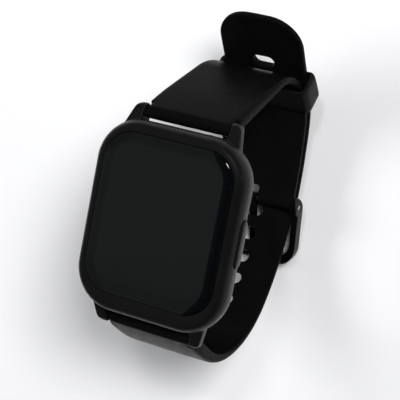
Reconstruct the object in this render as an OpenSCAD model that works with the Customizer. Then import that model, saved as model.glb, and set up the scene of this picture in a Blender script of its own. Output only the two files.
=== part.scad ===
// Square smartwatch on a buckled two-piece silicone strap.
//
// Frame: +Z points out of the screen, +Y to 12 o'clock, +X to 3 o'clock, the side with the button.
// The origin is the centre of the wrist opening. Most modules work in the case frame, whose
// z = 0 is the top of the glass, and in_case() moves them down into place.

/* [Case] */
// Width of the case across the screen
case_w = 34.8; // [34.4:0.1:35]
// Length of the case between the two strap ends
case_l = 40.8; // [40.4:0.1:41]
// Corner radius of the case in plan
case_r = 9.4; // [9:0.1:9.8]
// Height of the glass face above the centre of the wrist opening
wrist_drop = 30; // [28:0.5:32]
// Gap between the two lugs of one end, the nominal strap width
lug_gap = 20; // [19.8:0.1:20.2]

/* [Glass and display] */
// Width of the cover glass
glass_w = 30.2; // [29.6:0.1:30.4]
// Length of the cover glass
glass_l = 34.2; // [33.6:0.1:34.4]
// Offset of the glass from the case centre towards 12 o'clock
glass_shift = 0.7; // [0.4:0.1:0.8]
// Thickness of the cover glass
glass_t = 1.4; // [1.2:0.1:1.5]

/* [Button] */
// Length of the side button
button_l = 9.6; // [8.5:0.1:10]
// Height of the side button
button_h = 2.4; // [2:0.1:2.6]
// How far the button stands out of the case side
button_proud = 0.5; // [0.4:0.1:0.8]

/* [Strap] */
// Width of the strap at the buckle and the tail
strap_w = 20.2; // [19.8:0.1:20.4]
// Width of the strap shoulders beyond the lugs
shoulder_w = 21; // [20.6:0.1:21.4]
// Thickness of the buckle half along its thin length
buckle_half_t = 1.9; // [1.8:0.05:2]
// Thickness of the tail half along its thin length
tail_half_t = 1.8; // [1.7:0.05:1.9]
// Gap between the two halves where the tail lies over the buckle half
lap_gap = 0.35; // [0.3:0.05:0.4]
// Free length of the tail beyond the keeper
tail_free_l = 20.4; // [16:0.2:22]
// Distance from one adjusting slot to the next
slot_pitch = 5.6; // [5:0.1:5.8]
// Adjusting slots between the tongue and the tip of the tail
slots_free = 7; // [5:1:8]
// Adjusting slots between the tongue and the case
slots_worn = 4; // [2:1:5]

/* [Buckle] */
// Tilt of the buckle frame away from the strap, in degrees
frame_tilt = 14.6; // [13:0.1:16]
// Length of the buckle frame beyond its bar
frame_l = 15.4; // [15:0.1:16]
// Width of each arm of the buckle frame
frame_arm_w = 1.5; // [1.4:0.1:1.7]
// Thickness of the buckle tongue
tongue_t = 0.8; // [0.7:0.05:0.85]
// Width of the buckle tongue
tongue_w = 1.8; // [1.5:0.1:2]

/* [Hidden] */
$fn = 64;
hull_fn = 32;

// Case heights, measured down from the top of the glass
seat_z = -glass_t - 0.2;        // floor of the glass seat
lip_top_z = -7.6;               // inner side of the rear lip
lip_under_z = -8.1;             // underside of the rear lip, on which the rear gasket seats
case_bottom_z = -9.2;           // underside of the case
cover_face_z = -9.4;            // outer face of the rear cover
sensor_face_z = -10.5;          // outer face of the sensor window
button_y = 0.3;                 // centre of the button along the case
button_z = -3.9;                // centre of the button below the glass

// Space for the works, and the opening inside the rear lip
cavity_w = 28.4;
cavity_l = 32.6;
cavity_r = 5.5;
rear_opening_w = 25.4;
rear_opening_l = 30.4;
rear_opening_r = 5;
glass_r = 6.6;                  // corner radius of the glass
glass_clear = 0.15;             // gap between the glass and its seat, all round

// Rear cover
cover_w = 27.2;
cover_l = 32.6;
cover_r = 6.5;
cover_clear = 0.1;
bump_z = -10.1;                 // where the round bump of the rear cover meets the sensor window
bump_root_r = 10.6;
bump_top_r = 9.2;
sensor_r = 6.6;
sensor_rim_z = -10;
sensor_seat_z = -9.2;
contact_x = 1.4;
contact_y = -13.6;
contact_r = 0.75;

// Stem, bore and seal of the side button, from the widest plane of the case side
stem_r = 0.74;
stem_end = -4.1;
stem_bore_r = 0.8;
clip_at = [-3.5, -3.3];
seal_r = 0.25;
seal_ring_r = 1.01;
seal_at = -1.4;
button_gap = 0.25;              // between the button and its recess

// The battery sits towards 6 o'clock
battery_y = -4.6;

// Places of the rear screws
screw_x = 10.2;
screw_y = 13;

// Spring bars: the strap ends turn on them between the lugs
bar_y = 22.1;
bar_z = -6.3;
lug_w = 2.5;
lug_tip_r = 1.6;
lug_corner_r = 1.9;
bar_pin_r = 0.45;
bar_hole_r = 0.53;
bar_hole_depth = 1.5;
bar_tube_r = 0.8;
bar_tube_bore_r = 0.5;
bar_tube_l = 18.8;
strap_end_w = 19.5;
strap_end_r = 1.5;
release_travel = 1.3;
knob_x = 8.2;
knob_r = 0.35;
knob_reach = 2.5;

// Strap paths in the (Y, Z) plane of the case frame: [length, turn] of each arc.
// A heading of 0 runs away from the case, 90 runs straight down and 180 runs under the wrist.
path_step = 1.25;
buckle_half_start = 61.5;
buckle_half_arcs = [[10.5, 3.5], [11.9, 0], [25.6, 103], [18, 12]];
tail_half_start = 60;
tail_half_arcs = [[11, 6], [12, 31], [19, 54], [17, 19]];
keeper_at = 38.4;               // distance of the keeper along the buckle half
tail_leaves_at = 38.7;          // where the tail stops following the buckle half and runs straight
lap_offset = buckle_half_t / 2 + lap_gap + tail_half_t / 2;
bridge_handle = 3.3;            // how long the tail keeps its direction where it crosses the buckle
slot_w = 5.3;
slot_l = 2.9;
tail_tip_r = 7.5;

// Buckle
bar_r = 0.55;
bar_inset = 0.2;                // the buckle bar sits this far towards the wrist in its strap
loop_r = 1.15;
notch_w = 2.8;
notch_l = 3;
frame_bore_r = 0.6;
frame_knuckle_r = 2.1;
frame_low = -0.7;               // wrist side of the frame, from the bar's axis
frame_high = 2.1;               // outer side of the frame
frame_clear_w = strap_w + 0.7;
frame_bar_l = 2.4;
frame_corner_r = 5;
tongue_l = frame_l - 0.1;
tongue_knuckle_r = 1;
tongue_clear = 0.12;            // between the tongue and the frame that it rests on

// Keeper
keeper_l = 7;
keeper_wall = 0.5;
keeper_side_wall = 1.4;
keeper_side_gap = 0.4;
keeper_in = buckle_half_t / 2 + 0.72;
keeper_out = buckle_half_t / 2 + lap_gap + tail_half_t + 0.7;

// ---------- Path functions ----------

// Direction of travel for a heading, as [y, z]
function heading_dir(h) = [cos(h), -sin(h)];

// Point at distance s along an arc that starts at p with heading h
function arc_point(p, h, len, turn, s) =
    abs(turn) < 0.01 ? p + s * heading_dir(h)
    : let (r = len / (turn * PI / 180), a = h + turn * s / len)
      p + r * [sin(a) - sin(h), cos(a) - cos(h)];

// Points along a chain of arcs, without the last one
function chain_points(p, h, arcs, k = 0) =
    k == len(arcs) ? []
    : let (l = arcs[k][0], turn = arcs[k][1], n = ceil(l / path_step))
      concat([for (i = [0 : n - 1]) arc_point(p, h, l, turn, l * i / n)],
             chain_points(arc_point(p, h, l, turn, l), h + turn, arcs, k + 1));

// Last point of a chain of arcs
function chain_end(p, h, arcs, k = 0) =
    k == len(arcs) ? p
    : chain_end(arc_point(p, h, arcs[k][0], arcs[k][1], arcs[k][0]), h + arcs[k][1], arcs, k + 1);

function whole_chain(p, h, arcs) = concat(chain_points(p, h, arcs), [chain_end(p, h, arcs)]);

function unit(v) = v / norm(v);

// Direction and left-hand normal of a line of points at point i
function dir_at(pts, i) = unit(pts[min(i + 1, len(pts) - 1)] - pts[max(i - 1, 0)]);
function normal_at(pts, i) = let (d = dir_at(pts, i)) [-d[1], d[0]];

function offset_points(pts, d) = [for (i = [0 : len(pts) - 1]) pts[i] + d * normal_at(pts, i)];

// Length along a line of points up to point i
function length_to(pts, i) = i <= 0 ? 0 : length_to(pts, i - 1) + norm(pts[i] - pts[i - 1]);

// [y, z, slope] at distance s along a line of points
function place_at(pts, s, i = 1) =
    let (step = norm(pts[i] - pts[i - 1]))
    s <= step || i == len(pts) - 1
    ? let (q = pts[i - 1] + (pts[i] - pts[i - 1]) * s / step, d = pts[i] - pts[i - 1])
      [q[0], q[1], atan2(d[1], d[0])]
    : place_at(pts, s - step, i + 1);

function reversed(v) = [for (i = [len(v) - 1 : -1 : 0]) v[i]];
function mirrored(v) = [for (q = v) [-q[0], q[1]]];
function bezier_point(a, b, c, d, t) =
    pow(1 - t, 3) * a + 3 * pow(1 - t, 2) * t * b + 3 * (1 - t) * t * t * c + pow(t, 3) * d;

// Middle line of the buckle half, from the upper spring bar to the buckle bar
buckle_line = whole_chain([bar_y, bar_z], buckle_half_start, buckle_half_arcs);
buckle_end = buckle_line[len(buckle_line) - 1];
buckle_axis = buckle_end + [0, bar_inset];

// Middle line of the tail half: round the wrist, across the buckle, along the buckle half
// and straight on past the keeper
tail_wrap = mirrored(whole_chain([bar_y, bar_z], tail_half_start, tail_half_arcs));
lap_count = len([for (i = [0 : len(buckle_line) - 1])
                 if (length_to(buckle_line, i) >= tail_leaves_at) i]);
lap_line = offset_points([for (i = [0 : lap_count - 1]) buckle_line[len(buckle_line) - 1 - i]],
                         -lap_offset);
bridge_from = tail_wrap[len(tail_wrap) - 1];
bridge_dir = dir_at(tail_wrap, len(tail_wrap) - 1);
function bridge_point(t) = bezier_point(bridge_from, bridge_from + bridge_handle * bridge_dir,
                                        lap_line[0] - [bridge_handle, 0], lap_line[0], t);
lap_end = lap_line[len(lap_line) - 1];
tip_dir = dir_at(lap_line, len(lap_line) - 1);
tip_line = [for (i = [1 : 4]) lap_end + tail_free_l * i / 4 * tip_dir];
tail_line = concat(tail_wrap, [for (t = [0.125 : 0.125 : 0.875]) bridge_point(t)], lap_line,
                   tip_line);
tail_l = length_to(tail_line, len(tail_line) - 1);

// The tongue passes through the slot in the middle of the bridge
tongue_cross = bridge_point(0.5);
tongue_slot_at = length_to(tail_line, len(tail_wrap) + 3);
tongue_slope = atan2(buckle_axis[1] - tongue_cross[1], buckle_axis[0] - tongue_cross[0]) - frame_tilt;

// Half thickness of each half at a distance from its spring bar
function buckle_half_at(s) = lookup(s, [[0, 1.5], [10, 1.35], [25, buckle_half_t / 2]]);
function tail_half_at(s) = lookup(s, [[0, 1.5], [10, 1.35], [25, tail_half_t / 2]]);

keeper_place = place_at(buckle_line, keeper_at);

// ---------- Shared shapes ----------

module in_case() {
    translate([0, 0, wrist_drop]) children();
}

// Rounded rectangle
module plate_outline(w, l, r) {
    square([w, l - 2 * r], center = true);
    square([w - 2 * r, l], center = true);
    for (x = [-1, 1], y = [-1, 1])
        translate([x * (w / 2 - r), y * (l / 2 - r)]) circle(r);
}

// Rounded plate between two heights
module plate(w, l, r, low, high) {
    translate([0, 0, low]) linear_extrude(high - low) plate_outline(w, l, r);
}

module rod_x(x0, x1, r) {
    translate([x0, 0, 0]) rotate([0, 90, 0]) cylinder(h = x1 - x0, r = r);
}

module block(x, y, z) {
    translate([x[0], y[0], z[0]]) cube([x[1] - x[0], y[1] - y[0], z[1] - z[0]]);
}

// Extrudes a (Y, Z) outline across the watch
module across(x0, x1) {
    translate([x0, 0, 0]) rotate([90, 0, 90]) linear_extrude(x1 - x0) children();
}

// Oblong outline lying along X
module slot_outline(w, h) {
    square([w - h, h], center = true);
    for (x = [-1, 1]) translate([x * (w - h) / 2, 0]) circle(h / 2);
}

// Thin helical spring along X, as rings of points joined into one tube
module coil_x(x0, x1, r, wire_r, turns) {
    sides = 6;
    steps = 12 * turns;
    rings = [for (i = [0 : steps])
        let (a = 360 * turns * i / steps, x = x0 + wire_r + (x1 - x0 - 2 * wire_r) * i / steps)
        [for (k = [0 : sides - 1])
            let (b = 360 * k / sides, q = r + wire_r * cos(b))
            [x + wire_r * sin(b), q * cos(a), q * sin(a)]]];
    points = [for (ring = rings) each ring];
    walls = [for (i = [0 : steps - 1], k = [0 : sides - 1])
        let (n = (k + 1) % sides)
        [i * sides + k, i * sides + n, (i + 1) * sides + n, (i + 1) * sides + k]];
    polyhedron(points, concat(walls, [[for (k = [sides - 1 : -1 : 0]) k]],
                              [[for (k = [0 : sides - 1]) steps * sides + k]]));
}

// ---------- Case ----------

// One thin layer of the case body, drawn in from its widest outline
module case_layer(z, inset) {
    translate([0, 0, z]) linear_extrude(0.01)
        plate_outline(case_w - 2 * inset, case_l - 2 * inset, case_r - inset, $fn = hull_fn);
}

module case_body() {
    hull($fn = hull_fn) {
        case_layer(-0.5, 1.6);
        case_layer(-0.7, 1.2);
        case_layer(-1.3, 0.6);
        case_layer(-2.2, 0.15);
        case_layer(-3.2, 0);
        case_layer(-4.6, 0.15);
        case_layer(-6, 0.6);
        case_layer(-7.4, 1.3);
        case_layer(-8.5, 2);
        case_layer(case_bottom_z, 2.7);
    }
}

// Lug on the +X, +Y corner: its side, plan and end outlines cut one another
module lug() {
    inner = lug_gap / 2;
    corner_y = bar_y + lug_tip_r - lug_corner_r;
    corner_x = inner + lug_w - lug_corner_r;
    intersection() {
        across(inner, case_w / 2) {
            translate([bar_y, bar_z]) circle(lug_tip_r);
            polygon([[15, -2.8], [18.4, -3.1], [bar_y + 0.6, bar_z + lug_tip_r - 0.11],
                     [bar_y + lug_tip_r, bar_z], [bar_y, bar_z - lug_tip_r], [15, -8.4]]);
        }
        translate([0, 0, -12]) linear_extrude(12) {
            translate([corner_x, corner_y]) circle(lug_corner_r);
            translate([inner, corner_y]) square([corner_x - inner, lug_corner_r]);
            polygon([[inner, 14], [14, 14], [13.4, 19], [inner + lug_w, corner_y], [inner, corner_y]]);
        }
        translate([0, 30, 0]) rotate([90, 0, 0]) linear_extrude(30)
            polygon([[inner, -2], [14, -2], [14, -4.6], [inner + lug_w - 0.4, bar_z],
                     [inner + lug_w - 0.9, -8.6], [inner, -8.6]]);
    }
}

module screw_places() {
    for (x = [-1, 1], y = [-1, 1]) translate([x * screw_x, y * screw_y, 0]) children();
}

module case_shell() {
    color([0.07, 0.07, 0.075]) in_case() difference() {
        union() {
            difference() {
                union() {
                    case_body();
                    for (x = [0, 1], y = [0, 1]) mirror([x, 0, 0]) mirror([0, y, 0]) lug();
                }
                // Seat of the glass and the space for the works
                translate([0, glass_shift, 0]) {
                    plate(glass_w + 2 * glass_clear, glass_l + 2 * glass_clear, glass_r + glass_clear,
                          seat_z, 1);
                    plate(cavity_w, 32, cavity_r, -4, seat_z + 1);
                }
                plate(cavity_w, cavity_l, cavity_r, lip_top_z, -2.6);
                // Opening inside the rear lip, and the recess of the rear cover
                plate(rear_opening_w, rear_opening_l, rear_opening_r, lip_under_z - 0.5, lip_top_z + 1);
                plate(cover_w + 2 * cover_clear, cover_l + 2 * cover_clear, cover_r + cover_clear,
                      case_bottom_z - 1, lip_under_z);
            }
            screw_places() translate([0, 0, lip_under_z]) cylinder(h = 4.8, r = 1.5);
        }
        screw_places() translate([0, 0, lip_under_z - 1]) cylinder(h = 4.5, r = 0.5);
        // Recess, seal seat and bore of the side button
        translate([case_w / 2 - 1, button_y, button_z]) {
            rotate([90, 0, 90]) linear_extrude(3)
                slot_outline(button_l + 2 * button_gap, button_h + 2 * button_gap);
            rod_x(-0.8, 1, seal_ring_r + seal_r + 0.02);
            rod_x(-4, 1, stem_bore_r);
        }
        // Holes of the spring bars
        for (s = [-1, 1]) translate([0, s * bar_y, bar_z])
            rod_x(-lug_gap / 2 - bar_hole_depth, lug_gap / 2 + bar_hole_depth, bar_hole_r);
    }
}

// Cover glass with a flat middle that curves down to its edge
module cover_glass() {
    color([0.03, 0.035, 0.04]) in_case() translate([0, glass_shift, 0]) hull($fn = hull_fn) {
        plate(glass_w - 5, glass_l - 3.4, glass_r - 2, -0.02, 0);
        plate(glass_w - 2.8, glass_l - 2.2, glass_r - 1.3, -0.12, -0.1);
        plate(glass_w - 1.2, glass_l - 1, glass_r - 0.6, -0.37, -0.35);
        plate(glass_w - 0.3, glass_l - 0.2, glass_r - 0.1, -0.77, -0.75);
        plate(glass_w, glass_l, glass_r, -glass_t, -1);
    }
}

module glass_gasket() {
    color([0.12, 0.12, 0.12]) in_case() translate([0, glass_shift, 0]) difference() {
        plate(glass_w - 0.2, glass_l - 0.2, glass_r - 0.1, seat_z, -glass_t);
        plate(28.5, 32.1, 5.6, seat_z - 1, 1);
    }
}

module display_panel() {
    color([0.02, 0.02, 0.025]) in_case() translate([0, glass_shift, 0])
        plate(26.4, 30.8, 3, -glass_t - 1.1, -glass_t);
}

// Ribbon that folds from the lower end of the display to the main board
module display_flex() {
    color([0.75, 0.45, 0.15]) in_case() across(-4, 4) difference() {
        translate([-14.9, -3.45]) circle(0.95);
        translate([-14.9, -3.45]) circle(0.75);
        translate([-14.9, -5]) square([3, 3]);
    }
}

// Tray that carries the display, the board and the battery
module inner_frame() {
    color([0.16, 0.16, 0.17]) in_case() difference() {
        plate(27.6, 32, 5.3, -3.4, -2.7);
        plate(20, 22, 3, -4, -2);
        block([-4.6, 4.6], [-17, -12.6], [-4, -2]);
        block([9, 15], [-2.1, 2.7], [-4, -2]);
        screw_places() translate([0, 0, -4]) cylinder(h = 2, r = 1.7);
    }
}

// ---------- Works ----------

module main_board() {
    color([0.05, 0.25, 0.12]) in_case() difference() {
        plate(27.6, 31.8, 5.1, -5.1, -4.45);
        screw_places() translate([0, 0, -6]) cylinder(h = 2, r = 1.75);
        // Clearance for the stem of the side button
        block([12, 15], [button_y - 1.6, button_y + 1.6], [-6, -4]);
    }
}

module board_chips() {
    color([0.1, 0.1, 0.1]) in_case() {
        block([-6, -0.5], [8.4, 13.6], [-6.1, -5.1]);
        block([0.8, 4.6], [9.2, 12.8], [-6.0, -5.1]);
        block([-6, -3], [5.6, 7.6], [-5.9, -5.1]);
        for (x = [-1.6, 0.2, 2, 3.8]) block([x, x + 1], [6.4, 7], [-5.7, -5.1]);
        block([-5, 5], [-11.9, -9.9], [-4.45, -3.9]);
    }
}

module battery() {
    color([0.7, 0.7, 0.72]) in_case() translate([0, battery_y, 0]) plate(17, 19, 1.2, -7.4, -5.3);
}

module battery_pad() {
    color([0.15, 0.15, 0.16]) in_case() translate([0, battery_y, 0]) plate(15, 17, 1, -5.3, -5.1);
}

// Coin vibration motor beside the chips
module vibration_motor() {
    color([0.72, 0.72, 0.74]) in_case() translate([8.9, 8.3, -7.5])
        cylinder(h = 2.4, r = 3.2);
}

module antenna_strip() {
    color([0.8, 0.62, 0.3]) in_case() difference() {
        plate(28.2, 32.4, 5.4, -3.9, -3.5);
        plate(27.7, 31.9, 5.2, -5, -2);
        block([-15, 15], [-17, 8], [-5, -2]);
    }
}

module sensor_board() {
    color([0.05, 0.25, 0.12]) in_case() plate(11, 11, 1.5, lip_under_z, -7.5);
}

// Two green emitters either side of the light detector, facing the wrist
module sensor_leds() {
    color([0.2, 0.8, 0.35]) in_case() {
        for (x = [-3, 3]) block([x - 0.8, x + 0.8], [-0.8, 0.8], [-8.7, lip_under_z]);
        block([-1.3, 1.3], [-1.3, 1.3], [-8.6, lip_under_z]);
    }
}

// ---------- Back ----------

module rear_cover() {
    color([0.09, 0.09, 0.095]) in_case() difference() {
        union() {
            plate(cover_w, cover_l, cover_r, cover_face_z, lip_under_z - 0.2);
            translate([0, 0, bump_z]) cylinder(h = 1, r1 = bump_top_r, r2 = bump_root_r);
        }
        // Seat and opening of the sensor window
        translate([0, 0, -12]) cylinder(h = 12 + sensor_seat_z, r = sensor_r + 0.05);
        translate([0, 0, -10]) cylinder(h = 3, r = 5.3);
        // Charging contacts
        for (x = [-1, 1])
            translate([x * contact_x, contact_y, -11]) cylinder(h = 4, r = contact_r + 0.05);
        screw_places() {
            translate([0, 0, -11]) cylinder(h = 4, r = 0.75);
            translate([0, 0, -11]) cylinder(h = 11 - 8.85, r = 1.35);
        }
    }
}

module rear_gasket() {
    color([0.6, 0.25, 0.1]) in_case() difference() {
        plate(cover_w - 0.1, cover_l - 0.1, cover_r, lip_under_z - 0.2, lip_under_z);
        plate(25.6, 30.6, 5.1, -9, -8);
        screw_places() translate([0, 0, -9]) cylinder(h = 2, r = 1.52);
    }
}

module sensor_window() {
    color([0.02, 0.02, 0.03]) in_case() rotate_extrude()
        polygon([[0, sensor_seat_z], [sensor_r, sensor_seat_z], [sensor_r, sensor_rim_z],
                 [sensor_r - 0.5, sensor_face_z], [0, sensor_face_z]]);
}

module charging_contacts() {
    color([0.85, 0.68, 0.3]) in_case()
        for (x = [-1, 1]) translate([x * contact_x, contact_y, 0]) {
        translate([0, 0, cover_face_z - 0.05]) cylinder(h = 1.25, r = contact_r);
        translate([0, 0, -8.25]) cylinder(h = 0.25, r = contact_r + 0.2);
    }
}

module rear_screws() {
    color([0.25, 0.25, 0.27]) in_case() screw_places() difference() {
        union() {
            translate([0, 0, -9.35]) cylinder(h = 0.5, r = 1.2);
            translate([0, 0, -8.9]) cylinder(h = 3.6, r = 0.5);
        }
        // Star recess, as three crossed slots
        for (a = [0, 60, 120]) rotate([0, 0, a]) block([-0.65, 0.65], [-0.15, 0.15], [-9.6, -9.05]);
    }
}

// ---------- Side button ----------

module at_button() {
    in_case() translate([case_w / 2, button_y, button_z]) children();
}

module side_button() {
    color([0.05, 0.05, 0.055]) at_button() difference() {
        union() {
            rotate([90, 0, 90]) translate([0, 0, -0.6]) linear_extrude(0.3 + button_proud)
                slot_outline(button_l, button_h);
            rotate([90, 0, 90]) translate([0, 0, -0.35 + button_proud]) linear_extrude(0.35)
                slot_outline(button_l - 0.5, button_h - 0.5);
            rod_x(stem_end, -0.5, stem_r);
        }
        // Groove of the retaining clip
        difference() {
            rod_x(clip_at[0] - 0.05, clip_at[1] + 0.05, 1);
            rod_x(-5, -3, 0.5);
        }
    }
}

module button_seal() {
    color([0.1, 0.1, 0.1]) at_button() translate([seal_at, 0, 0]) rotate([0, 90, 0]) rotate_extrude()
        translate([seal_ring_r, 0]) circle(seal_r);
}

// Clip in the stem's groove that keeps the button in
module button_clip() {
    color([0.6, 0.6, 0.62]) at_button() difference() {
        rod_x(clip_at[0], clip_at[1], 1.35);
        rod_x(-5, -3, 0.51);
        block([-5, -3], [-0.35, 0.35], [-2, 0]);
    }
}

module button_switch() {
    color([0.2, 0.2, 0.2]) at_button() difference() {
        block([-7.3, -5.1], [-2, 2], [-0.55, 0.45]);
        rod_x(-6, -5, 0.36);
    }
}

module switch_plunger() {
    color([0.75, 0.72, 0.6]) at_button() rod_x(-5.5, stem_end, 0.3);
}

// ---------- Spring bars ----------

// Frame of a spring bar: mirrored to the 6 o'clock end when side is -1
module at_bar(side) {
    in_case() mirror([0, side < 0 ? 1 : 0, 0]) translate([0, bar_y, bar_z]) children();
}

// The knob of the release pin points down and towards the case
module at_knob() {
    rotate([-30, 0, 0]) translate([knob_x, 0, 0]) children();
}

module bar_tube(side) {
    color([0.55, 0.55, 0.57]) at_bar(side) difference() {
        rod_x(-bar_tube_l / 2, bar_tube_l / 2, bar_tube_r);
        rod_x(-bar_tube_l, bar_tube_l, bar_tube_bore_r);
        at_knob() block([-release_travel - 0.6, 3], [-0.45, 0.45], [-2, 0]);
    }
}

module bar_fixed_pin(side) {
    color([0.7, 0.7, 0.72]) at_bar(side) {
        rod_x(-lug_gap / 2 - 1.2, 0.8, bar_pin_r);
        rod_x(-bar_tube_l / 2 - 0.25, -bar_tube_l / 2, bar_tube_r);
    }
}

module bar_release_pin(side) {
    color([0.7, 0.7, 0.72]) at_bar(side) {
        rod_x(5.4, lug_gap / 2 + 1.2, bar_pin_r);
        at_knob() translate([0, 0, -knob_reach]) cylinder(h = knob_reach, r = knob_r);
        at_knob() translate([0, 0, -knob_reach]) cylinder(h = 0.5, r = 0.6);
    }
}

module bar_spring(side) {
    color([0.8, 0.8, 0.82]) at_bar(side) coil_x(0.82, 5.38, 0.34, 0.09, 7);
}

module upper_bar_tube() { bar_tube(1); }
module upper_bar_fixed_pin() { bar_fixed_pin(1); }
module upper_bar_release_pin() { bar_release_pin(1); }
module upper_bar_spring() { bar_spring(1); }
module lower_bar_tube() { bar_tube(-1); }
module lower_bar_fixed_pin() { bar_fixed_pin(-1); }
module lower_bar_release_pin() { bar_release_pin(-1); }
module lower_bar_spring() { bar_spring(-1); }

// ---------- Strap ----------

// Side outline of a strap half: its middle line, thickened on both sides
module strap_outline(line, half_at) {
    halves = [for (i = [0 : len(line) - 1]) half_at(length_to(line, i))];
    left = [for (i = [0 : len(line) - 1]) line[i] + halves[i] * normal_at(line, i)];
    right = [for (i = [0 : len(line) - 1]) line[i] - halves[i] * normal_at(line, i)];
    polygon(concat(left, reversed(right)));
}

// Front outline of the strap: shoulders that narrow to the strap width, then straight
module strap_front() {
    translate([0, 60, 0]) rotate([90, 0, 0]) linear_extrude(120)
        polygon([[-shoulder_w / 2, 0], [-shoulder_w / 2, -12], [-strap_w / 2 - 0.1, -27],
                 [-strap_w / 2, -32], [-strap_w / 2, -60], [strap_w / 2, -60], [strap_w / 2, -32],
                 [strap_w / 2 + 0.1, -27], [shoulder_w / 2, -12], [shoulder_w / 2, 0]]);
}

// What the lugs, the spring bar and its knob take out of a strap half
module strap_end_cuts() {
    for (s = [0, 1]) mirror([s, 0, 0]) {
        translate([0, bar_y, bar_z]) rod_x(strap_end_w / 2, 20, lug_tip_r + 0.35);
        block([strap_end_w / 2, 20], [0, bar_y], [-12, 0]);
    }
    translate([0, bar_y, bar_z]) {
        rod_x(-12, 12, bar_tube_r + 0.05);
        at_knob() block([-release_travel - 0.8, 3], [-0.8, 0.8], [-5, 0]);
    }
}

module strap_end_tube() {
    translate([0, bar_y, bar_z]) rod_x(-strap_end_w / 2, strap_end_w / 2, strap_end_r);
}

// The 12 o'clock half, which carries the buckle
module buckle_strap() {
    color([0.1, 0.1, 0.115]) in_case() difference() {
        union() {
            intersection() {
                across(-20, 20) strap_outline(buckle_line, function (s) buckle_half_at(s));
                strap_front();
            }
            strap_end_tube();
            translate([0, buckle_axis[0], buckle_axis[1]]) rod_x(-strap_w / 2, strap_w / 2, loop_r);
        }
        strap_end_cuts();
        translate([0, buckle_axis[0], buckle_axis[1]]) {
            rod_x(-12, 12, bar_r + 0.05);
            block([-notch_w / 2, notch_w / 2], [-3, notch_l], [-4, 4]);
        }
    }
}

// The 6 o'clock half, with the adjusting slots and the free tail
module tail_strap() {
    color([0.1, 0.1, 0.115]) in_case() difference() {
        union() {
            intersection() {
                across(-20, 20) strap_outline(tail_line, function (s) tail_half_at(s));
                strap_front();
            }
            mirror([0, 1, 0]) strap_end_tube();
        }
        mirror([0, 1, 0]) strap_end_cuts();
        for (k = [-slots_worn : slots_free]) at_tail(tongue_slot_at + k * slot_pitch)
            translate([0, 0, -3]) linear_extrude(6) slot_outline(slot_w, slot_l);
        for (s = [0, 1]) mirror([s, 0, 0]) at_tail(tail_l - 0.001) tip_corner();
    }
}

// Frame on the middle line of the tail half: local Y runs along it, local Z out of its face
module at_tail(s) {
    q = place_at(tail_line, s);
    translate([0, q[0], q[1]]) rotate([q[2], 0, 0]) children();
}

// What rounds one corner of the tail's tip
module tip_corner() {
    translate([strap_w / 2 - tail_tip_r, -tail_tip_r, -3]) linear_extrude(6) difference() {
        square(tail_tip_r + 1);
        circle(tail_tip_r);
    }
}

// Loop that holds the tail against the buckle half
module strap_keeper() {
    inner_w = strap_w + 2 * keeper_side_gap;
    outer_w = inner_w + 2 * keeper_side_wall;
    middle = (keeper_in - keeper_out) / 2;
    color([0.09, 0.09, 0.1]) in_case() translate([0, keeper_place[0], keeper_place[1]])
        rotate([keeper_place[2], 0, 0]) translate([0, -keeper_l / 2, 0]) rotate([-90, 0, 0])
        linear_extrude(keeper_l) difference() {
            translate([0, middle]) keeper_ring(outer_w, keeper_wall, 1.2);
            translate([0, middle]) keeper_ring(inner_w, 0, 0.5);
        }
}

// Cross-section outline of the keeper, grown by a wall
module keeper_ring(w, wall, r) {
    plate_outline(w, keeper_in + keeper_out + 2 * wall, r);
}

// ---------- Buckle ----------

// Frame of the buckle: local Y runs from the bar to the frame's end, local Z away from the wrist
module at_buckle(tilt) {
    in_case() translate([0, buckle_axis[0], buckle_axis[1]]) rotate([180 + tilt, 0, 0]) children();
}

module buckle_frame() {
    half_w = frame_clear_w / 2 + frame_arm_w;
    end_r = (frame_high - frame_low) / 2;
    color([0.06, 0.06, 0.065]) at_buckle(frame_tilt) difference() {
        intersection() {
            across(-half_w, half_w) {
                circle(frame_knuckle_r);
                translate([0, frame_low]) square([frame_l - end_r, frame_high - frame_low]);
                translate([frame_l - end_r, frame_low + end_r]) circle(end_r);
            }
            translate([0, 0, -5]) linear_extrude(10) difference() {
                translate([0, frame_l / 2 - 2]) plate_outline(2 * half_w, frame_l + 4, frame_corner_r);
                translate([0, (frame_l - frame_bar_l) / 2 - 3])
                    plate_outline(frame_clear_w, frame_l - frame_bar_l + 6, frame_corner_r - 1.6);
            }
        }
        rod_x(-20, 20, frame_bore_r);
        // Notch where the tongue rests
        rotate([tongue_slope, 0, 0]) block([-tongue_w / 2 - 0.15, tongue_w / 2 + 0.15], [8, 20],
                                           [-tongue_t / 2 - tongue_clear, 5]);
    }
}

// Pin that the frame and the tongue turn on
module buckle_bar() {
    color([0.6, 0.6, 0.62]) at_buckle(0)
        rod_x(-frame_clear_w / 2 - frame_arm_w + 0.15, frame_clear_w / 2 + frame_arm_w - 0.15, bar_r);
}

// Frame of the tongue: local Y runs along it, from the bar to its tip
module at_tongue() {
    at_buckle(frame_tilt + tongue_slope) children();
}

module buckle_tongue() {
    half = tongue_t / 2;
    color([0.06, 0.06, 0.065]) at_tongue() difference() {
        union() {
            rod_x(-tongue_w / 2, tongue_w / 2, tongue_knuckle_r);
            across(-tongue_w / 2, tongue_w / 2)
                polygon([[0.7, -half], [0.7, half], [tongue_l - 0.6, half], [tongue_l, 0],
                         [tongue_l - 0.2, -half]]);
        }
        rod_x(-5, 5, frame_bore_r);
    }
}

// ---------- Nodes ----------

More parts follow.
